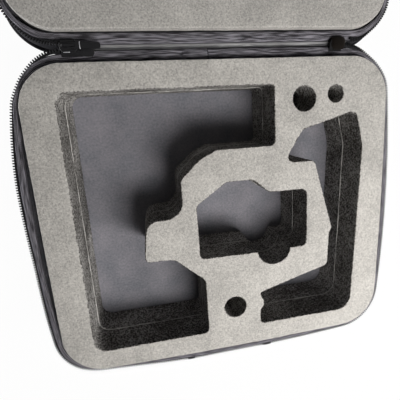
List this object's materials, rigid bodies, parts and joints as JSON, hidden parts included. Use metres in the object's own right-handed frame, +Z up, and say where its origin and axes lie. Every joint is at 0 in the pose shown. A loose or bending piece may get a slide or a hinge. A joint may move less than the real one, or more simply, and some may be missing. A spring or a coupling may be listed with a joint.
{
  "type": "tool case",
  "caption": "Open zipped soft-sided case, its base filled with a thick foam insert cut for an instrument and accessories, its lid lined with plain foam.",
  "frame": {"origin": "centre of the base half's flat underside", "axes": "+X along the hinge to the right, +Y towards the hinge and the open lid, +Z up"},
  "size_m": [0.3982, 0.691, 0.0805],
  "materials": {
    "shell_nylon": "woven nylon, charcoal",
    "piping": "black woven piping",
    "lining": "smooth blue-grey lining cloth",
    "board": "nylon-covered stiffening board",
    "binding": "ribbed nylon binding",
    "zip_tape": "black zip tape",
    "zip_coil": "black nylon coil",
    "foam": "closed-cell grey foam",
    "zip_metal": "gloss black",
    "handle": "matte black",
    "grip": "soft matte black"
  },
  "bodies": {
    "base": {"base_panel": "board", "base_piping": "piping", "base_wall": "shell_nylon", "base_lining": "lining", "base_binding": "binding", "binding_lap": "binding", "base_zip_tape": "zip_tape", "base_zip_coil": "zip_coil", "foam_lower_left_back": "foam", "foam_lower_left_front": "foam", "foam_lower_back": "foam", "foam_lower_corner": "foam", "foam_lower_middle": "foam", "foam_upper_left_back": "foam", "foam_upper_left_front": "foam", "foam_upper_back": "foam", "foam_upper_corner": "foam", "foam_upper_middle": "foam", "hinge_gusset": "lining", "zip_chain_left": "zip_coil", "zip_chain_right": "zip_coil", "zip_cap_left": "zip_tape", "zip_cap_right": "zip_tape", "handle_mount_left": "handle", "handle_mount_right": "handle"},
    "lid": {"lid_panel": "board", "lid_piping": "piping", "lid_wall": "shell_nylon", "lid_lining": "lining", "lid_binding": "binding", "lid_zip_tape": "zip_tape", "lid_zip_coil": "zip_coil", "lid_foam": "foam"},
    "slider": {"zip_slider": "zip_metal"},
    "pull": {"zip_pull": "zip_metal"},
    "handle": {"carry_handle": "handle", "handle_grip": "grip"}
  },
  "joints": [
    {"name": "lid_hinge", "type": "hinge", "parent": "base", "child": "lid", "pos_m": [0, 0.1689, 0.08015], "axis": [1, 0, 0], "range_deg": [0, 187.97]},
    {"name": "handle_hinge", "type": "hinge", "parent": "base", "child": "handle", "pos_m": [0, -0.1765, 0.056], "axis": [-1, 0, 0], "range_deg": [0, 95]},
    {"name": "slider_slide", "type": "slide", "parent": "base", "child": "slider", "axis": [-1, 0, 0], "range_m": [0, 0.006]},
    {"name": "pull_hinge", "type": "hinge", "parent": "slider", "child": "pull", "pos_m": [-0.1325, 0.1689, 0.0784], "axis": [0, -1, 0], "range_deg": [0, 150]}
  ]
}
